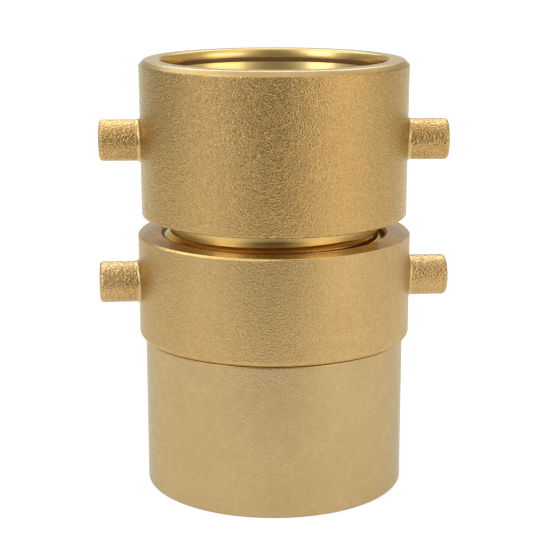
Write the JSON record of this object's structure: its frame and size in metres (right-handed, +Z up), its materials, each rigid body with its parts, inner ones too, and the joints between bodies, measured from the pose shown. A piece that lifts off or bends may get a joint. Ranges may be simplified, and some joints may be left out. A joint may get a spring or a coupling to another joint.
{
  "type": "fire hose coupling",
  "caption": "Pin lug fire hose coupling, made up hand tight: a male half screwed into the swivel ring of a female half, with a hose bowl on each half.",
  "frame": {"origin": "centre of the female half's bowl mouth, which the coupling stands on", "axes": "+Z up the waterway from the female half's bowl to the male half's, +X along the right-hand lugs, which lie 2 degrees (male half) and 6 degrees (swivel ring) round from it"},
  "size_m": [0.1154, 0.0888, 0.1397],
  "materials": {
    "male_brass": "sand-blasted forging",
    "ring_brass": "sand-blasted forging",
    "tail_brass": "satin",
    "spring_steel": "drawn",
    "gasket_rubber": "matt black"
  },
  "bodies": {
    "tail": {"female_tail": "tail_brass", "thread_gasket": "gasket_rubber"},
    "swivel": {"swivel_ring": "ring_brass", "retaining_ring": "spring_steel"},
    "male": {"male_body": "male_brass"}
  },
  "joints": [
    {"name": "swivel_spin", "type": "hinge", "parent": "tail", "child": "swivel", "pos_m": [0, 0, 0.0667], "axis": [0, 0, -1], "range_deg": [0, 1440]},
    {"name": "male_travel", "type": "slide", "parent": "tail", "child": "male", "axis": [0, 0, 1], "range_m": [0, 0.0127]}
  ],
  "couplings": [
    {"joint": "male_travel", "follows": "swivel_spin", "m_per_rad": 0.00050531}
  ]
}
